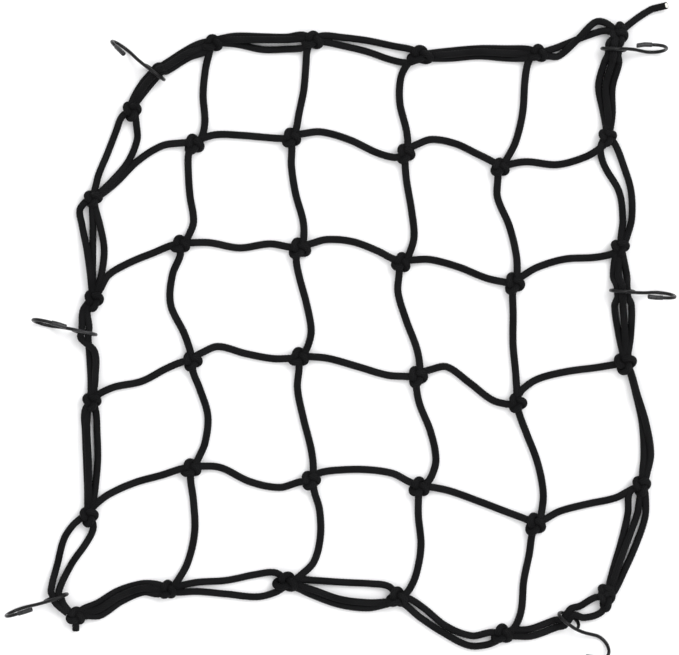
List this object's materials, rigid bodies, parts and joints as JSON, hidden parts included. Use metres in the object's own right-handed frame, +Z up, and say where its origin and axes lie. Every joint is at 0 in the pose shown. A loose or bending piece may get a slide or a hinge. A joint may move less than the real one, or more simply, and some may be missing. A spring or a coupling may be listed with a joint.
{
  "type": "elastic cargo net with wire hooks",
  "caption": "Square knotted net of elastic cord lying flat, with a corded border and open wire hooks round it to hold a load down.",
  "frame": {"origin": "middle of the outline of net and hooks, on the surface that the net lies on", "axes": "+Z up from the surface, +X to the right and +Y to the top of the net as it is laid out"},
  "size_m": [0.4468, 0.4373, 0.0264],
  "materials": {
    "black_elastic_cord": "matt black braided polyester sheath over an elastic core",
    "black_coated_wire": "black coated spring wire with a thicker dipped tip, half gloss"
  },
  "bodies": {
    "root": {"net": "black_elastic_cord", "hook_1": "black_coated_wire", "hook_2": "black_coated_wire", "hook_3": "black_coated_wire", "hook_4": "black_coated_wire", "hook_5": "black_coated_wire", "hook_6": "black_coated_wire"}
  },
  "joints": []
}
